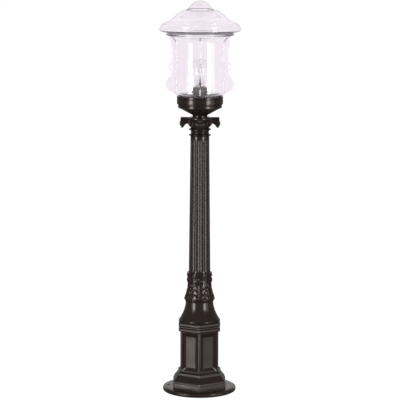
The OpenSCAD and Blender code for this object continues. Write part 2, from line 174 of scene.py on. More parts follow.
def from_rows(name, rows):
    """A closed surface from rows of points in mm. Each row is a loop or one point on the axis,
    and the last row joins the first unless both are single points."""
    verts, index, faces = [], [], []
    for row in rows:
        index.append(range(len(verts), len(verts) + len(row)))
        verts += [Vector(p) * MM for p in row]
    steps = max(len(row) for row in rows)
    for a, b in zip(index, index[1:] + index[:1]):
        if len(a) == len(b) == 1:
            continue
        for i in range(steps):
            j = (i + 1) % steps
            corners = list(dict.fromkeys((a[i % len(a)], a[j % len(a)], b[j % len(b)], b[i % len(b)])))
            if len(corners) == 4:
                p, q, r, s = (verts[c] for c in corners)
                warp = abs((q - p).cross(r - p).normalized().dot(s - p))
                # split a warped quad across q and s where that is its shorter diagonal
                if warp > MAX_WARP and (q - s).length < (p - r).length * 0.999:
                    faces += [(corners[0], corners[1], corners[3]), (corners[1], corners[2], corners[3])]
                    continue
            faces.append(tuple(corners))
    mesh = bpy.data.meshes.new(name)
    mesh.from_pydata(verts, [], faces)
    return finished(name, mesh)


def lathe(name, outline, steps=192, relief=None):
    """Turns a closed (r, z) outline about the lamp's axis. relief(angle, r, z) adds to the radius."""
    rows = []
    for r, z in outline:
        if r < 1e-3:
            rows.append([(0, 0, z)])
            continue
        row = []
        for i in range(steps):
            a = 2 * pi * i / steps
            reach_r = r + relief(a, r, z) if relief else r
            row.append((reach_r * cos(a), reach_r * sin(a), z))
        rows.append(row)
    return from_rows(name, rows)


def slab(name, outline, holes, thickness, edge):
    """Upright plate in the XZ plane with rounded rims: outline and holes are (x, z) loops in mm."""
    loops = [outline, *holes]
    # depth as a share of the thickness, and how far the rim is drawn in as a share of edge
    layers = [(-0.5, 1.0), (-0.5 + 0.3 * edge / thickness, 0.3), (-0.5 + edge / thickness, 0.0),
              (0.5 - edge / thickness, 0.0), (0.5 - 0.3 * edge / thickness, 0.3), (0.5, 1.0)]
    bm = bmesh.new()
    rims = {0: [], len(layers) - 1: []}
    for loop in loops:
        area = sum(a[0] * b[1] - b[0] * a[1] for a, b in zip(loop, loop[1:] + loop[:1]))
        into_plate = 1 if (area > 0) == (loop is outline) else -1
        rings = []
        for k, (depth, share) in enumerate(layers):
            ring = []
            for i, p in enumerate(loop):
                before, after = Vector(loop[i - 1]), Vector(loop[(i + 1) % len(loop)])
                along = (after - before).normalized()
                q = Vector(p) + Vector((-along.y, along.x)) * into_plate * edge * share
                ring.append(bm.verts.new((q.x * MM, depth * thickness * MM, q.y * MM)))
            rings.append(ring)
        for a, b in zip(rings, rings[1:]):
            for i in range(len(loop)):
                j = (i + 1) % len(loop)
                bm.faces.new((a[i], a[j], b[j], b[i]))
        for k in rims:
            rims[k] += [bm.edges.get((rings[k][i], rings[k][(i + 1) % len(loop)])) for i in range(len(loop))]
    for edges in rims.values():
        bmesh.ops.triangle_fill(bm, use_beauty=True, use_dissolve=False, edges=edges)
    mesh = bpy.data.meshes.new(name)
    bm.to_mesh(mesh)
    bm.free()
    return finished(name, mesh)


def cylinder_tool(place, axis, radius, length, steps=32):
    """A scratch cylinder for boring, in mm."""
    bm = bmesh.new()
    bmesh.ops.create_cone(bm, cap_ends=True, segments=steps, radius1=radius * MM, radius2=radius * MM,
                          depth=length * MM)
    turn = Vector((0, 0, 1)).rotation_difference(Vector(axis)).to_matrix().to_4x4()
    bmesh.ops.transform(bm, verts=bm.verts, matrix=Matrix.Translation(Vector(place) * MM) @ turn)
    mesh = bpy.data.meshes.new("tool")
    bm.to_mesh(mesh)
    bm.free()
    tool = bpy.data.objects.new("tool", mesh)
    bpy.context.scene.collection.objects.link(tool)
    return tool


def applied(obj):
    """Bakes the object's modifiers into its mesh."""
    bpy.context.view_layer.update()
    graph = bpy.context.evaluated_depsgraph_get()
    mesh = bpy.data.meshes.new_from_object(obj.evaluated_get(graph))
    obj.modifiers.clear()
    obj.data = mesh


def fuse(obj, others, how):
    """Boolean of obj with the others, which are then removed."""
    for other in others:
        modifier = obj.modifiers.new(how, "BOOLEAN")
        modifier.operation = how
        modifier.solver = "EXACT"
        modifier.object = other
    applied(obj)
    for other in others:
        bpy.data.objects.remove(other)
    name, mesh = obj.name, obj.data
    bpy.data.objects.remove(obj)
    return finished(name, mesh)


def joined(name, parts):
    """One object made of the parts' meshes."""
    bm = bmesh.new()
    for part in parts:
        bm.from_mesh(part.data)
        bpy.data.objects.remove(part)
    mesh = bpy.data.meshes.new(name)
    bm.to_mesh(mesh)
    bm.free()
    return finished(name, mesh)


# ---------- node materials ----------

def material(name, **values):
    """A Principled material: values are its sockets by name."""
    mat = bpy.data.materials.new(name)
    mat.use_nodes = True
    shader = mat.node_tree.nodes["Principled BSDF"]
    for key, value in values.items():
        socket = shader.inputs[key.replace("_", " ").title().replace("Ior", "IOR")]
        socket.default_value = (*value, 1) if isinstance(value, tuple) else value
    return mat, mat.node_tree, shader


def noise(tree, size, detail=3.0, stretch=(1, 1, 1)):
    """Noise whose features are about size mm across, in the object's own space."""
    place = tree.nodes.new("ShaderNodeTexCoord")
    scale = tree.nodes.new("ShaderNodeMapping")
    scale.inputs["Scale"].default_value = stretch
    texture = tree.nodes.new("ShaderNodeTexNoise")
    texture.inputs["Scale"].default_value = 1 / (size * MM)
    texture.inputs["Detail"].default_value = detail
    tree.links.new(place.outputs["Object"], scale.inputs["Vector"])
    tree.links.new(scale.outputs["Vector"], texture.inputs["Vector"])
    return texture.outputs["Fac"]


def ramp(tree, source, stops):
    """Colour ramp from (position, colour) stops."""
    node = tree.nodes.new("ShaderNodeValToRGB")
    elements = node.color_ramp.elements
    while len(elements) < len(stops):
        elements.new(0.5)
    for element, (position, colour) in zip(elements, stops):
        element.position = position
        element.color = (*colour, 1)
    tree.links.new(source, node.inputs["Fac"])
    return node.outputs["Color"]


def span(tree, source, low_value, high_value):
    """Maps noise, which stays mostly between 0.3 and 0.7, to a range."""
    node = tree.nodes.new("ShaderNodeMapRange")
    node.inputs["From Min"].default_value = 0.3
    node.inputs["From Max"].default_value = 0.7
    node.inputs["To Min"].default_value = low_value
    node.inputs["To Max"].default_value = high_value
    tree.links.new(source, node.inputs["Value"])
    return node.outputs["Result"]


def bumps(tree, shader, layers):
    """Stacks bump layers, each (noise, height in mm)."""
    normal = None
    for source, height in layers:
        node = tree.nodes.new("ShaderNodeBump")
        node.inputs["Distance"].default_value = height * MM
        tree.links.new(source, node.inputs["Height"])
        if normal:
            tree.links.new(normal, node.inputs["Normal"])
        normal = node.outputs["Normal"]
    tree.links.new(normal, shader.inputs["Normal"])


def painted_casting():
    """Dark brown-black gloss paint, slightly redder in places, that follows the casting's soft waves."""
    mat, tree, shader = material("painted_casting", ior=1.5, specular_tint=(1.0, 0.91, 0.88))
    tint = noise(tree, 60, 4)
    colour = ramp(tree, tint, [(0.3, (0.0215, 0.0155, 0.0122)), (0.5, (0.0255, 0.0156, 0.0138)),
                               (0.7, (0.0300, 0.0175, 0.0160))])
    tree.links.new(colour, shader.inputs["Base Color"])
    tree.links.new(span(tree, noise(tree, 25, 2), 0.17, 0.22), shader.inputs["Roughness"])
    bumps(tree, shader, [(noise(tree, 18, 1), 0.05), (noise(tree, 5, 1), 0.002)])
    return mat


def clear_acrylic():
    """Clear moulding with a faint lilac cast and the slight waviness of a blown mould."""
    mat, tree, shader = material("clear_acrylic", ior=1.49, transmission_weight=1.0)
    stops = [(0.35, (0.975, 0.960, 0.978)), (0.65, (0.985, 0.972, 0.987))]
    colour = ramp(tree, noise(tree, 70, 2), stops)
    tree.links.new(colour, shader.inputs["Base Color"])
    shader.inputs["Roughness"].default_value = 0
    bumps(tree, shader, [(noise(tree, 40, 1), 0.08), (noise(tree, 9, 2), 0.004)])
    return mat


def bulb_clear_glass():
    """Thin clear glass with slow waves."""
    mat, tree, shader = material("bulb_clear_glass", ior=1.45, transmission_weight=1.0,
                                 base_color=(0.985, 0.99, 0.985))
    shader.inputs["Roughness"].default_value = 0
    bumps(tree, shader, [(noise(tree, 18, 1), 0.02)])
    return mat


def plain_metal(name, tone, dark, rough, grain, height=0.01):
    """Bare or plated metal with cloudy colour and a fine drawn grain."""
    mat, tree, shader = material(name, metallic=1.0)
    colour = ramp(tree, noise(tree, 6, 4), [(0.35, dark), (0.65, tone)])
    tree.links.new(colour, shader.inputs["Base Color"])
    roughness = span(tree, noise(tree, 3, 4, grain), rough - 0.08, rough + 0.1)
    tree.links.new(roughness, shader.inputs["Roughness"])
    bumps(tree, shader, [(noise(tree, 1.2, 3, grain), height)])
    return mat


def moulded(name, tone, dark, rough, size=4, height=0.02):
    """Moulded resin, ceramic or rubber with a faint mottle and a fine matt skin."""
    mat, tree, shader = material(name, ior=1.5)
    colour = ramp(tree, noise(tree, size * 3, 4), [(0.3, dark), (0.7, tone)])
    tree.links.new(colour, shader.inputs["Base Color"])
    roughness = span(tree, noise(tree, size, 3), rough - 0.06, rough + 0.08)
    tree.links.new(roughness, shader.inputs["Roughness"])
    bumps(tree, shader, [(noise(tree, size / 4, 3), height)])
    return mat


def clear_seal():
    """Clear silicone with a faint lilac cast."""
    mat, tree, shader = material("clear_seal", ior=1.3, transmission_weight=1.0)
    colour = ramp(tree, noise(tree, 8, 2), [(0.35, (0.93, 0.92, 0.94)), (0.65, (0.96, 0.95, 0.96))])
    tree.links.new(colour, shader.inputs["Base Color"])
    shader.inputs["Roughness"].default_value = 0
    bumps(tree, shader, [(noise(tree, 8, 2), 0.004)])
    return mat


FINISHES = {
    "painted_casting": painted_casting(),
    "clear_acrylic": clear_acrylic(),
    "bulb_clear_glass": bulb_clear_glass(),
    "zinc_plated_steel": plain_metal("zinc_plated_steel", (0.62, 0.63, 0.65), (0.48, 0.49, 0.5), 0.35,
                                     (1, 1, 6)),
    "nickel_shell": plain_metal("nickel_shell", (0.7, 0.68, 0.64), (0.55, 0.54, 0.5), 0.28, (1, 1, 5)),
    "brass_parts": plain_metal("brass_parts", (0.78, 0.58, 0.27), (0.6, 0.42, 0.18), 0.3, (1, 1, 4)),
    "block_ceramic": moulded("block_ceramic", (0.80, 0.77, 0.69), (0.72, 0.68, 0.6), 0.42),
    "holder_bakelite": moulded("holder_bakelite", (0.20, 0.17, 0.145), (0.13, 0.11, 0.095), 0.45),
    "cable_sheath": moulded("cable_sheath", (0.035, 0.035, 0.037), (0.022, 0.022, 0.023), 0.5),
    "seal_rubber": moulded("seal_rubber", (0.045, 0.043, 0.043), (0.028, 0.027, 0.027), 0.6),
    "bulb_insulator": moulded("bulb_insulator", (0.02, 0.02, 0.022), (0.012, 0.012, 0.014), 0.2),
    "filament": plain_metal("filament", (0.8, 0.79, 0.77), (0.7, 0.69, 0.67), 0.4, (1, 1, 1), 0.004),
    "blackened_steel": moulded("blackened_steel", (0.016, 0.015, 0.015), (0.009, 0.009, 0.009), 0.3),
    "clear_seal": clear_seal(),
}


def piece(obj, body, slot, *nodes):
    """Gives a Blender piece its finish and its body, and hides the CAD nodes that it stands for."""
    obj.data.materials.clear()
    obj.data.materials.append(FINISHES[slot])
    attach(obj, body)
    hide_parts(*nodes)
    return obj


# ---------- pedestal ----------

SHAFT_W = 60.0                  # half the distance across the shaft's flats
PLINTH_W = 83.0                 # the same across the plinth
CORNICE_W = 65.5                # and across the cornice
FLANGE_H = 14.0
SHAFT_LOW = 67.0
CORNICE_LOW = PEDESTAL_TOP - 29
CAVITY_W = 46.5                 # half the distance across the hollow
TOP_T = 8.0                     # thickness of the casting's top
TOP_HOLE = 12.0                 # half the width of the opening in the top
CORNER_R = 0.9                  # rounding of the pedestal's upright corners
PANEL_LOW, PANEL_HIGH = 68.5, CORNICE_LOW - 4
PANEL_HALF = 29.6               # half the width of a panel at its rim
BEVEL_W = 12.0                  # width of the slope round a panel
PANEL_DEPTH = 6.0
CREASE = 0.9                    # half the width of the rounding along a panel's creases
ANCHOR_R = 98.0                 # from the axis to an anchor hole
ANCHOR_HOLE_R = 5.5


def panel_depth(s, z):
    """How deep the sunk panel is at s mm from the face's middle line and height z."""
    t = min(PANEL_HALF - abs(s), z - PANEL_LOW, PANEL_HIGH - z) / BEVEL_W
    e = CREASE / BEVEL_W
    if t < -e:
        return 0.0
    if t < e:
        return PANEL_DEPTH * (t + e) ** 2 / (4 * e)
    if t < 1 - e:
        return PANEL_DEPTH * t
    if t < 1 + e:
        return PANEL_DEPTH * (1 - (1 + e - t) ** 2 / (4 * e))
    return PANEL_DEPTH


def crease_stops(rim, towards):
    """Grid lines across a bevel that starts at rim: fine near both creases."""
    near = [-1, -0.5, 0, 0.5, 1]
    first = [rim + towards * CREASE * k for k in near]
    middle = [rim + towards * BEVEL_W * 0.5]
    last = [rim + towards * (BEVEL_W + CREASE * k) for k in near]
    return first + middle + last


def pedestal_outline():
    """(half flats, z) up the outside of the pedestal, over the top and down the hollow."""
    foot_w = SHAFT_W + 7.5
    plinth_top = FLANGE_H + 17
    ogee_top = SHAFT_LOW - 9
    ogee = [(PLINTH_W - 1.5 + (foot_w - PLINTH_W + 1.5) * smooth_step(i / 12),
             plinth_top + 0.5 + (ogee_top - plinth_top - 0.5) * i / 12, 0) for i in range(1, 13)]
    outside = [(CAVITY_W, 0, 0.5), (PLINTH_W - 1, 0, 0), (PLINTH_W, FLANGE_H - 2, 0),
               (PLINTH_W, plinth_top, 1.2), (PLINTH_W - 1.8, plinth_top + 0.6, 0.3), *ogee,
               (foot_w, SHAFT_LOW - 6, 1.2), (SHAFT_W, SHAFT_LOW, 1.0)]
    heights = sorted(crease_stops(PANEL_LOW, 1) + crease_stops(PANEL_HIGH, -1) + [110, 130, 150])
    shaft = [(SHAFT_W, z, 0) for z in heights]
    w, z = CORNICE_W, CORNICE_LOW
    cornice = [(SHAFT_W, z - 1.4, 0.8), (w - 1.2, z, 1.5), (w, z + 2, 2.5), (w, z + 9, 3),
               (w - 4.5, z + 10.6, 1), (w - 4.5, z + 14.2, 1), (w, z + 16, 2.5), (w, z + 25, 3),
               (w - 3.5, PEDESTAL_TOP, 1), (CAVITY_W, PEDESTAL_TOP, 0), (TOP_HOLE, PEDESTAL_TOP, 0)]
    inside = [(TOP_HOLE, PEDESTAL_TOP - TOP_T, 0), (CAVITY_W, PEDESTAL_TOP - TOP_T, 1)]
    return rounded(outside + shaft + cornice + inside, 0)


def pedestal_row(w, z):
    """One hexagonal loop of the pedestal: six faces with rounded corners between."""
    corner = min(CORNER_R, w * 0.5)
    half = (w - corner) * tan(radians(30))
    shaft_half = (SHAFT_W - CORNER_R) * tan(radians(30))
    sunk = abs(w - SHAFT_W) < 1e-6
    stops = sorted([-x for x in crease_stops(PANEL_HALF, -1)] + crease_stops(PANEL_HALF, -1)
                   + [-shaft_half, -8, 0, 8, shaft_half])
    row = []
    for face in range(6):
        a = radians(60 * face)
        out, along = Vector((cos(a), sin(a), 0)), Vector((-sin(a), cos(a), 0))
        for s in stops:
            depth = panel_depth(s, z) if sunk else 0.0
            row.append(out * (w - depth) + along * (s * half / shaft_half) + Vector((0, 0, z)))
        centre = out * (w - corner) + along * half
        for k in (1, 2, 3):
            turn = radians(15 * k)
            row.append(centre + (out * cos(turn) + along * sin(turn)) * corner + Vector((0, 0, z)))
    return row


def pedestal():
    """The hollow hexagonal casting on its round flange, with three anchor holes."""
    casting = from_rows("pedestal_casting", [pedestal_row(w, z) for w, z in pedestal_outline()])
    flange = lathe("flange", rounded(
        [(60, 0), (FLANGE_R - 2, 0), (FLANGE_R, 2), (FLANGE_R, FLANGE_H - 4, 3.5),
         (FLANGE_R - 6, FLANGE_H - 1, 3), (FLANGE_R - 13, FLANGE_H, 4), (60, FLANGE_H)], 1.0, 6))
    casting = fuse(casting, [flange], "UNION")
    holes = []
    for a in (radians(60), radians(180), radians(300)):
        place = (ANCHOR_R * cos(a), ANCHOR_R * sin(a), FLANGE_H / 2)
        holes.append(cylinder_tool(place, (0, 0, 1), ANCHOR_HOLE_R, 40, 48))
    return piece(fuse(casting, holes, "DIFFERENCE"), "post", "painted_casting", "pedestal")


# ---------- bell, leaf sleeve and column ----------

def bell_section():
    """Thin-walled bell with a beaded foot."""
    z0, h = PEDESTAL_TOP, BELL_TOP - PEDESTAL_TOP
    foot_r, head_r, wall = 64.0, 43.5, 6.0
    steps = 24
    sweep = [(head_r + (foot_r - 1.5 - head_r) * (1 - i / steps) ** 1.8, z0 + 5 + (h - 5) * i / steps)
             for i in range(steps + 1)]
    inner = [(r - wall, z) for r, z in reversed(sweep[:-3])]
    foot = rounded([(foot_r - wall, z0), (foot_r, z0, 1), (foot_r + 0.6, z0 + 2, 1.5), (foot_r, z0 + 4, 1)],
                   0, closed=False)
    bore = TIE_R + TUBE_GAP
    outline = foot + sweep + [(bore, BELL_TOP), (bore, BELL_TOP - wall)] + inner
    return piece(lathe("bell_casting", outline), "post", "painted_casting", "bell_section")


LEAF_LOW, LEAF_HIGH = BELL_TOP + 14, SLEEVE_TOP - 16
LEAF_TURN = radians(-94)        # the front leaf stands a little to the left of the middle


def leaf(s, v, half_width, lobes, thick):
    """Relief of one acanthus leaf: s mm beside its rib, v from foot to tip."""
    if not 0 <= v <= 1:
        return 0.0
    width = half_width * sqrt(max(1 - v ** 2.6, 0)) * (0.86 + 0.14 * cos(2 * pi * lobes * v))
    inside = width - abs(s)
    if width < 0.5 or inside <= 0:
        return 0.0
    u = abs(s) / width
    edge = smooth_step(inside / 2.2)
    folds = 0.6 * cos(2 * pi * (lobes * v - 0.75 * u)) * smooth_step(u * 3)
    rib = -0.9 * exp(-(s / 1.3) ** 2) * smooth_step((1 - v) * 4)
    curl = 2.8 * exp(-((v - 0.86) / 0.13) ** 2) * (1 - 0.55 * u * u)
    return edge * (thick + folds + rib + curl + 0.9 * u * u)


def leaf_relief(a, r, z):
    """All the leaves round the sleeve: four broad ones, with four slim, lower ones between."""
    v = (z - LEAF_LOW) / (LEAF_HIGH - LEAF_LOW)
    best = 0.0
    for k in range(4):
        off = (a - LEAF_TURN - k * pi / 2 + pi) % (2 * pi) - pi
        best = max(best, leaf(off * r, v, half_width=21, lobes=4, thick=2.2))
        off = (a - LEAF_TURN - pi / 4 - k * pi / 2 + pi) % (2 * pi) - pi
        best = max(best, leaf(off * r, v / 0.74, half_width=13, lobes=3, thick=0.7))
    return best


def leaf_sleeve():
    """Waisted sleeve with its leaves, beads at foot and top, and the column's socket inside."""
    z0, z1 = BELL_TOP, SLEEVE_TOP
    foot = rounded([(30, z0), (44.5, z0, 0.6), (44.5, z0 + 3, 1), (46.6, z0 + 5.5, 1.2), (49.2, z0 + 9, 2.5),
                    (47.6, z0 + 12.5, 1.5), (44.6, z0 + 14, 0.8)], 0.5, closed=False)
    sweep = spline([(44.6, z0 + 14), (41.6, z0 + 24), (37.6, z0 + 38), (35.2, z0 + 54), (35.0, z0 + 68),
                    (35.8, z0 + 79)], 24)
    socket_r = 34.15
    head = rounded([(35.8, z0 + 79), (40, z0 + 81.5, 1.2), (40.4, z0 + 85.5, 1.4), (38, z0 + 87, 0.6),
                    (38, z0 + 88.2, 0.6), (40, z0 + 89.5, 1.0), (39, z1 - 0.8, 1.0), (36, z1, 0.8),
                    (socket_r, z1, 0)], 0.5, closed=False)
    inner = [(socket_r, COLUMN_LOW), (22, COLUMN_LOW), (22, COLUMN_LOW - 7), (28, COLUMN_LOW - 9),
             (28, z0 + 6), (TIE_R + 4, z0 + 6), (TIE_R + 4, z0)]
    outline = foot[:-1] + sweep + head[1:] + inner

    def relief(a, r, z):
        outside = r > socket_r + 0.35
        return leaf_relief(a, r, z) if outside else 0.0

    return piece(lathe("leaf_sleeve_casting", outline, 480, relief), "post", "painted_casting", "leaf_sleeve")


def column():
    """Tapered tube with scooped flutes that stop short of its ends."""
    foot_r, top_r, flutes, depth = 34.0, 29.2, 16, 2.1
    per_flute = 18
    points = flutes * per_flute
    flute_low, flute_high = COLUMN_LOW + 10, COLUMN_TOP - 8
    end_length = 6.0
    ends = [0, 1.5, 3, 4.5, 6, 8, 11]
    heights = ([flute_low + e for e in ends] + [COLUMN_LOW + 60 * k for k in range(1, 7)]
               + [flute_high - e for e in reversed(ends)])
    heights = sorted([COLUMN_LOW, *heights, COLUMN_TOP])

    def hollow(share, z):
        """Depth of a flute: a scoop with flat arrises beside it and a round end at its foot and head."""
        x = min(abs(share) / 0.40, 1.0)
        end = min(z - flute_low, flute_high - z)
        if end <= 0:
            return 0.0
        reach_end = 1 - max(0.0, 1 - end / end_length) ** 2
        return depth * max(reach_end - x * x, 0.0) ** 0.8

    rows = []
    for z in heights:
        r = foot_r + (top_r - foot_r) * (z - COLUMN_LOW) / (COLUMN_TOP - COLUMN_LOW)
        row = []
        for i in range(points):
            a = 2 * pi * i / points
            fluted_r = r - hollow((i / per_flute) % 1 - 0.5, z)
            row.append((fluted_r * cos(a), fluted_r * sin(a), z))
        rows.append(row)
    for z, r in ((COLUMN_TOP, top_r - 7.5), (COLUMN_LOW, foot_r - 8)):      # the bore
        rows.append([(r * cos(2 * pi * i / points), r * sin(2 * pi * i / points), z) for i in range(points)])
    return piece(from_rows("fluted_column", rows), "post", "painted_casting", "column")


def neck_ring():
    """Two sharp lips with a rounded band between them."""
    z0, bore, lip = COLUMN_TOP, TIE_R + TUBE_GAP, 34.5
    outline = rounded(
        [(bore, z0), (28.6, z0), (30.5, z0 + 1.2), (lip, z0 + 3.2, 0.7), (lip, z0 + 4.8, 0.7),
         (29.6, z0 + 8.4, 1.2), (27.4, z0 + 9.6, 0.8), (28.9, z0 + 13, 3), (27.4, z0 + 16.4, 0.8),
         (29.6, z0 + 17.8, 1.2), (lip, z0 + 21.2, 0.7), (lip, z0 + 22.8, 0.7), (30, RING_TOP),
         (bore, RING_TOP)], 0.6)
    return piece(lathe("neck_ring_casting", outline), "post", "painted_casting", "neck_ring")


# ---------- capital ----------

BRACKET_T = 16.0                # thickness of a leaf bracket
VOXEL = 0.9                     # grain of the remesh that makes the capital one skin


def bracket_side():
    """Side view of one leaf bracket: r outwards, z up from the capital's foot."""
    outer = spline([(60, 33.6), (61.4, 27), (62.6, 17), (63, 10.5), (61, 5.5), (57.5, 1.0), (53.6, 1.6),
                    (50.8, 5), (47.4, 9.5), (43, 12.6), (38.8, 12.4), (35, 9), (31.5, 4), (27, 0.4)], 4)
    return [(20, 0.4), (20, 28), (26, 28), (26, 33.6), *outer]


def bracket(turn):
    """One leaf bracket: a slab with rounded rims, turned to its place round the capital."""
    obj = slab("bracket", bracket_side(), [], BRACKET_T, 2.5)
    bm = bmesh.new()
    bm.from_mesh(obj.data)
    bmesh.ops.rotate(bm, verts=bm.verts, matrix=Matrix.Rotation(turn, 3, "Z"), cent=(0, 0, 0))
    bmesh.ops.translate(bm, verts=bm.verts, vec=(0, 0, RING_TOP * MM))
    bm.to_mesh(obj.data)
    bm.free()
    return obj


def leaf_folds(co):
    """How far a point on the capital moves out along its normal, in mm: veins fan down from the abacus."""
    x, y, z = co.x / MM, co.y / MM, co.z / MM - RING_TOP
    r = hypot(x, y)
    side = min(abs(x), abs(y))
    along = max(abs(x), abs(y))
    if r < 30 or z > 29:
        return 0.0
    fan = degrees(atan2(31 - z, along - 30))
    fade = smooth_step((r - 30) / 5) * smooth_step((29 - z) / 4)
    folds = 0.75 * cos(radians(fan * 14)) * fade
    notch = -0.9 * exp(-(side / 1.2) ** 2) * fade if along > 54 or z < 12 else 0.0
    return folds + notch


def capital():
    """Bell, four leaf brackets and a round abacus, made one skin and then veined."""
    z0 = RING_TOP
    bore = TIE_R + TUBE_GAP
    bell = spline([(27, z0 + 0.3), (25.2, z0 + 5), (24.2, z0 + 12), (26, z0 + 19), (30, z0 + 24.5)], 6)
    abacus = rounded([(30, z0 + 24.5), (34.5, z0 + 26, 0.8), (35.8, z0 + 28.5, 1.2),
                      (35.8, z0 + 32, 1.2), (34.5, z0 + 33.8, 0.8), (25.8, z0 + 33.8, 0.5),
                      (25.8, z0 + 29.8, 0.5), (bore, z0 + 29.8, 0)], 0.5, closed=False)
    core = lathe("core", [(bore, z0 + 0.3), *bell, *abacus[1:]], 128)
    parts = [core] + [bracket(k * pi / 2) for k in range(4)]
    whole = joined("capital_casting", parts)
    remesh = whole.modifiers.new("fuse", "REMESH")
    remesh.mode = "VOXEL"
    remesh.voxel_size = VOXEL * MM
    applied(whole)
    relax = whole.modifiers.new("relax", "SMOOTH")
    relax.factor = 0.5
    relax.iterations = 3
    applied(whole)
    moved = [v.co + v.normal * leaf_folds(v.co) * MM for v in whole.data.vertices]
    for v, place in zip(whole.data.vertices, moved):
        v.co = place
    for face in whole.data.polygons:
        face.use_smooth = True
    return piece(whole, "post", "painted_casting", "capital")


# ---------- lamp cup ----------

def lamp_cup():
    """Conical cup with a grooved collar, set-screw holes, and bosses for the lamp holder's bridge."""
    z0, bore, top = CUP_LOW, TIE_R + TUBE_GAP, CUP_TOP
    grooves = []
    for groove in (47.9, 63.0):
        grooves += [(CUP_R, z0 + groove - 1.1, 0.4), (CUP_R - 1, z0 + groove - 0.5, 0.3),
                    (CUP_R - 1, z0 + groove + 0.5, 0.3), (CUP_R, z0 + groove + 1.1, 0.4)]
    outline = rounded(
        [(bore, z0), (24, z0, 1.5), (23, z0 + 4, 2), (23, z0 + 9, 2), (26, z0 + 11.5, 2),
         (62.5, z0 + 31.5, 2), (67.2, z0 + 33, 1), (68.5, z0 + 34.8, 1), (68.5, z0 + 40.8, 0.8),
         (67.3, z0 + 42.2, 0.5), (67.3, z0 + 44, 0.5), (CUP_R - 0.6, z0 + 44.2, 0.8), *grooves,
         (CUP_R, top - 1, 1), (CUP_R - 1.2, top, 0.8), (66, top, 0.8), (65, top - 1, 0.6), (65, z0 + 43),
         (56, z0 + 43), (56, z0 + 37, 2), (22, z0 + 17, 2), (bore, z0 + 17)], 0.5, 4)
    cup = lathe("lamp_cup_casting", outline, 256)
    screw_z = (low("set_screw_front") + high("set_screw_front")) / 2
    screw_r, boss_r, boss_bore_r, boss_x = 2.55, 5, 1.65, 46
    holes = [cylinder_tool((68 * cos(a), 68 * sin(a), screw_z), (cos(a), sin(a), 0), screw_r, 20, 24)
             for a in (radians(-90), radians(30), radians(150))]
    bosses = [cylinder_tool((x, 0, z0 + 33), (0, 0, 1), boss_r, 12) for x in (-boss_x, boss_x)]
    bores = [cylinder_tool((x, 0, z0 + 36), (0, 0, 1), boss_bore_r, 9, 16) for x in (-boss_x, boss_x)]
    cup = fuse(cup, bosses, "UNION")
    return piece(fuse(cup, holes + bores, "DIFFERENCE"), "post", "painted_casting", "lamp_cup")


# ---------- clear lantern ----------

WALL = 3.0                      # thickness of the lantern and the roof
LANTERN_R = 77.0
NECK_R = 62.0                   # the part of the lantern that stands in the cup
SHOULDER = 9.0                  # radius of the curve from the neck to the wall
SHOULDER_Z = CUP_LOW + 72.5
FIN_T = 3.6
FINS = 4


def trumpet(off, steps=14):
    """The lantern's flared mouth, as an outer line (off 0) or one that lies deeper in the wall."""
    line = []
    for i in range(steps + 1):
        t = i / steps
        line.append((LANTERN_R - off + 29 * t ** 2.3, BODY_TOP - 30 + 27 * t + 0.4 * off * t))
    return line


def shoulder(off, start, end, steps=8):
    """The rounded shoulder above the neck, off mm inside the outer surface."""
    return arc(LANTERN_R - SHOULDER, SHOULDER_Z + SHOULDER, SHOULDER - off, start, end, steps)


def fin_outline():
    """One scroll fin: from the flared mouth down its edge, round the eye's loop and the lower swell."""
    z0 = CUP_LOW
    outer = spline([(95.5, z0 + 252.6), (92.6, z0 + 240), (90.2, z0 + 228), (88.6, z0 + 217),
                    (88.2, z0 + 205), (88.2, z0 + 190), (88.2, z0 + 178)], 4)
    loop = spline([(88.8, z0 + 174.4), (92, z0 + 173), (96.4, z0 + 169), (98.4, z0 + 163),
                   (97.6, z0 + 156), (94.6, z0 + 150.5), (90.6, z0 + 146.6), (88.8, z0 + 143.6),
                   (89.4, z0 + 139), (93, z0 + 131), (98.4, z0 + 122.5), (103.4, z0 + 113.5),
                   (105.8, z0 + 104), (104, z0 + 94.5), (98, z0 + 88), (90, z0 + 83.6),
                   (81, z0 + 78.4), (73.5, z0 + 73)], 4)
    inner = list(reversed(shoulder(WALL / 2, 0, -62)))
    wall = [(x, z) for x, z in trumpet(WALL / 2) if x < 95.5]
    return [*outer, *loop, (71.5, z0 + 73), *inner, *wall]


def fin_eye():
    """The slot inside the upper loop."""
    z0 = CUP_LOW
    return arc(91.4, z0 + 163.6, 3.3, 0, 180, 8) + arc(90.4, z0 + 155.4, 2.6, 180, 360, 8)


def lantern_body():
    """Clear cylinder with a neck, a shoulder and a trumpet mouth, and its scroll fins."""
    z0 = CUP_LOW
    outside = ([(NECK_R, BODY_LOW), (NECK_R, z0 + 69), (NECK_R + 1.2, z0 + 71.4), (NECK_R + 4, SHOULDER_Z)]
               + shoulder(0, -88, 0) + trumpet(0) + [(107, BODY_TOP - 1.6), (106, BODY_TOP)])
    inside = ([(97.4, BODY_TOP)] + [(min(r, 97), z) for r, z in reversed(trumpet(WALL))]
              + list(reversed(shoulder(WALL, -88, 0)))
              + [(NECK_R + 1.5, SHOULDER_Z + WALL), (NECK_R - 1, SHOULDER_Z + 1), (NECK_R - WALL, z0 + 68),
                 (NECK_R - WALL, BODY_LOW)])
    shell = lathe("lantern_shell", outside + inside, 192)
    fins = []
    for k in range(FINS):
        fin = slab("fin", fin_outline(), [fin_eye()], FIN_T, 1.0)
        fin.data.transform(Matrix.Rotation(k * 2 * pi / FINS, 4, "Z"))
        fins.append(fin)
    return piece(fuse(shell, fins, "UNION"), "lantern", "clear_acrylic", "lantern_body")


def offset_line(line, off):
    """The line moved off mm to its right-hand side."""
    out = []
    for i, p in enumerate(line):
        along = (Vector(line[min(i + 1, len(line) - 1)]) - Vector(line[max(i - 1, 0)])).normalized()
        out.append((p[0] + along.y * off, p[1] - along.x * off))
    return out


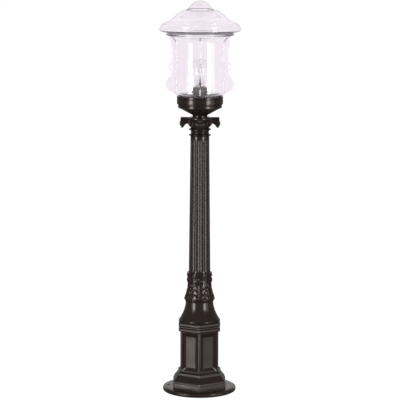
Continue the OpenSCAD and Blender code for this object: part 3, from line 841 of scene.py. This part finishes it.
def roof():
    """The hat and the dome on its crown, drawn as one clear moulding."""
    z0 = low("roof") + 5            # the roof's rim stands 5 mm down into the lantern's mouth
    dome_r = 40.0
    centre = DOME_TOP - dome_r
    slope = spline([(BRIM_R - 0.2, z0 + 13), (BRIM_R - 1.4, z0 + 19.5), (BRIM_R - 5.5, z0 + 25.5),
                    (117.5, z0 + 29.5), (105, z0 + 34.6), (93.5, z0 + 40.6), (85, z0 + 47),
                    (78.5, z0 + 53.4), (72, z0 + 59.5), (65, z0 + 65), (57, z0 + 69.5),
                    (50, z0 + 71.6), (45, ROOF_TOP)], 5)
    under = spline([(96, z0), (104, z0 + 0.6), (112, z0 + 2.8), (120, z0 + 5.2),
                    (BRIM_R - 2, z0 + 7.4), (BRIM_R - 0.2, z0 + 10.5)], 5)
    step = rounded([(45, ROOF_TOP), (43, ROOF_TOP + 0.1, 0.3), (43, ROOF_TOP + 1.4, 0.8),
                    (dome_r - 1.4, ROOF_TOP + 2.8, 0.8), (dome_r - 2.4, ROOF_TOP + 6)], 0.3, closed=False)
    dome = arc(0, centre, dome_r, 24, 89, 26) + [(0, DOME_TOP)]
    hat = under[:-1] + slope
    lining = [(r, z) for r, z in reversed(offset_line(hat, -WALL)) if r > 97.5 or z > z0 + 20]
    inner = [(0, DOME_TOP - WALL)] + arc(0, centre, dome_r - WALL, 89, 17, 24) + [(37, ROOF_TOP - WALL)]
    outline = [(96, z0 - 5), *hat, *step[1:-1], *dome, *inner, *lining, (93.5, z0 + 4), (93.5, z0 - 5)]
    return piece(lathe("roof_shell", outline, 192), "roof", "clear_acrylic", "roof", "roof_dome")


# ---------- lamp ----------

def bulb_glass():
    """Thin pear-shaped envelope."""
    top, r, thick = BULB_TOP, BULB_R, 0.9
    centre = top - r
    neck = low("bulb_glass")
    side = spline([(12.5, neck), (12.6, neck + 6.5), (14.4, neck + 10.5), (18.4, neck + 17),
                   (23.6, neck + 26), (27.8, neck + 38),
                   (r * cos(radians(-12)), centre + r * sin(radians(-12)))], 5)
    outer = side + arc(0, centre, r, -6, 89, 26) + [(0, top)]
    inner = [(0, top - thick)] + [(max(x, 0), z) for x, z in reversed(offset_line(outer[:-1], -thick))]
    return piece(lathe("bulb_envelope", outer + inner, 128), "bulb", "bulb_clear_glass", "bulb_glass")


HOLDER_RIBS = 24


def holder_ring():
    """Ring nut whose ribs end in a crown of points, on a thin flange."""
    z0, top, bore, edge = low("holder_ring"), high("holder_ring"), 17.6, reach("holder_ring")
    # radius, height, how far a rib stands out there, and how far its point stands up
    outline = [(bore, z0, 0, 0), (edge - 0.4, z0, 0, 0), (edge, z0 + 0.6, 0, 0), (edge - 0.5, z0 + 2, 0, 0),
               (21, z0 + 2.4, 0.2, 0), (20.2, z0 + 3.4, 1.9, 0), (20.2, top - 4.5, 1.9, 0),
               (19.6, top - 3.6, 1.2, 3.4), (18.4, top - 4.2, 0.3, 1.6), (bore, top - 4.6, 0, 0)]
    rows = []
    for r, z, rib, point in outline:
        row = []
        for i in range(HOLDER_RIBS * 8):
            a = 2 * pi * i / (HOLDER_RIBS * 8)
            wave = max(cos(HOLDER_RIBS * a), 0) ** 0.8
            row.append(((r + rib * wave) * cos(a), (r + rib * wave) * sin(a), z + point * wave))
        rows.append(row)
    return piece(from_rows("holder_ring_nut", rows), "post", "holder_bakelite", "holder_ring")


def inner_nodes():
    """The CAD pieces whose shape is final: they take a finish by their record slot."""
    slots = {part["node"]: part["material_slot"] for part in frame["record"]["subparts"]}
    for name, obj in frame["nodes"].items():
        if obj.hide_render:
            continue
        obj.data.materials.clear()
        obj.data.materials.append(FINISHES[slots[name]])


# ---------- studio ----------

SOFTBOX_R = 2.4                 # from the lamp's axis to the softboxes, in metres
CAMERA_WHITE = 1.02             # backdrop as the camera sees it
LILAC = (0.905, 0.852, 0.9)     # backdrop as it shows through glass
ROOM = (1, 0.99, 0.98)          # tint of the room in reflections
FLOOR_R = 3000                  # mm
LENS, SENSOR_W = 162.45, 36.0   # mm
EYE = (0.0008, -5.6, 1.4354)    # where the camera stands, in metres
EYE_DOWN, EYE_ROLL = 8.4, 0.15  # degrees


def softbox(name, azimuth, spread, bottom, top, radiance):
    """A tall light on a circle round the lamp: azimuth from its front, positive to the right, and spread
    in degrees, heights in metres."""
    data = bpy.data.lights.new(name, "AREA")
    data.shape = "RECTANGLE"
    data.size, data.size_y = 2 * SOFTBOX_R * tan(radians(spread / 2)), top - bottom
    data.energy = radiance * pi * data.size * data.size_y
    light = bpy.data.objects.new(name, data)
    a, height = radians(azimuth), (bottom + top) / 2
    light.location = (SOFTBOX_R * sin(a), -SOFTBOX_R * cos(a), height)
    aim = Vector((0, 0, height)) - light.location
    light.rotation_euler = aim.to_track_quat("-Z", "Y").to_euler()
    bpy.context.scene.collection.objects.link(light)


def studio_world():
    """White to the camera, pale lilac through glass, and a dim room with a lighter back wall otherwise."""
    world = bpy.data.worlds.new("studio")
    bpy.context.scene.world = world
    world.use_nodes = True
    tree = world.node_tree
    tree.nodes.clear()
    place = tree.nodes.new("ShaderNodeTexCoord")
    axes = tree.nodes.new("ShaderNodeSeparateXYZ")
    tree.links.new(place.outputs["Generated"], axes.inputs[0])

    def step(axis, start, end, low_value, high_value):
        node = tree.nodes.new("ShaderNodeMapRange")
        node.interpolation_type = "SMOOTHSTEP"
        node.inputs["From Min"].default_value = start
        node.inputs["From Max"].default_value = end
        node.inputs["To Min"].default_value = low_value
        node.inputs["To Max"].default_value = high_value
        tree.links.new(axes.outputs[axis], node.inputs["Value"])
        return node.outputs["Result"]

    def combine(how, a, b):
        node = tree.nodes.new("ShaderNodeMath")
        node.operation = how
        tree.links.new(a, node.inputs[0])
        tree.links.new(b, node.inputs[1])
        return node.outputs[0]

    wall_behind = combine("MULTIPLY", step("Y", 0.75, 0.95, 0, 0.55), step("Z", 0.02, 0.15, 0, 1))
    level = combine("ADD", step("Z", -0.7, 0.1, 0.08, 0.2), wall_behind)

    def backdrop(colour, strength=1.0):
        node = tree.nodes.new("ShaderNodeBackground")
        node.inputs["Color"].default_value = (*colour, 1)
        node.inputs["Strength"].default_value = strength
        return node

    def choose(test, otherwise, chosen):
        node = tree.nodes.new("ShaderNodeMixShader")
        tree.links.new(test, node.inputs["Fac"])
        tree.links.new(otherwise, node.inputs[1])
        tree.links.new(chosen, node.inputs[2])
        return node.outputs[0]

    room = backdrop(ROOM)
    tree.links.new(level, room.inputs["Strength"])
    path = tree.nodes.new("ShaderNodeLightPath")
    clear = combine("MAXIMUM", path.outputs["Is Transmission Ray"], path.outputs["Is Singular Ray"])
    glassy = combine("ADD", clear, path.outputs["Transmission Depth"])
    glassy.node.use_clamp = True
    through_glass = choose(glassy, room.outputs[0], backdrop(LILAC).outputs[0])
    white = backdrop((1, 1, 1), CAMERA_WHITE)
    seen = choose(path.outputs["Is Camera Ray"], through_glass, white.outputs[0])
    out = tree.nodes.new("ShaderNodeOutputWorld")
    tree.links.new(seen, out.inputs["Surface"])


def floor():
    """A wide thin disc that glows like the backdrop. It gives the lamp no light, reflection or shadow."""
    disc = lathe("floor", [(0, 0), (FLOOR_R, 0), (FLOOR_R, -4), (0, -4)], 96)
    mat, tree, shader = material("floor_paint", roughness=0.9, ior=1.3)
    tone = ramp(tree, noise(tree, 400, 3), [(0.3, (0.10, 0.10, 0.10)), (0.7, (0.12, 0.12, 0.12))])
    tree.links.new(tone, shader.inputs["Base Color"])
    shader.inputs["Emission Color"].default_value = (1, 1, 1, 1)
    shader.inputs["Emission Strength"].default_value = 1.0
    disc.data.materials.append(mat)
    disc.visible_diffuse = False
    disc.visible_glossy = False
    disc.visible_shadow = False


def camera():
    """From the front and a little above, through a long lens."""
    data = bpy.data.cameras.new("camera")
    data.lens, data.sensor_width = LENS, SENSOR_W
    data.clip_end = 50
    eye = bpy.data.objects.new("camera", data)
    eye.location = EYE
    turn = Matrix.Rotation(radians(90 - EYE_DOWN), 3, "X") @ Matrix.Rotation(radians(EYE_ROLL), 3, "Z")
    eye.rotation_euler = turn.to_euler()
    bpy.context.scene.collection.objects.link(eye)
    bpy.context.scene.camera = eye


def studio():
    """Two keys with a softer wash beside each, and a small low glint on the left."""
    studio_world()
    floor()
    softbox("key_left", -45, 16, -0.3, 1.05, 9)
    softbox("wash_left", -60, 12, -0.44, 0.6, 1.5)
    softbox("glint_left", -60.5, 4, -0.40, -0.35, 24)
    softbox("key_right", 42, 14, -0.2, 1.0, 9)
    softbox("wash_right", 60, 26, -0.5, 1.0, 1.2)
    camera()
    bpy.context.scene.view_settings.view_transform = "Standard"


for build in (pedestal, bell_section, leaf_sleeve, column, neck_ring, capital, lamp_cup, lantern_body, roof,
              holder_ring, bulb_glass):
    build()
inner_nodes()
studio()
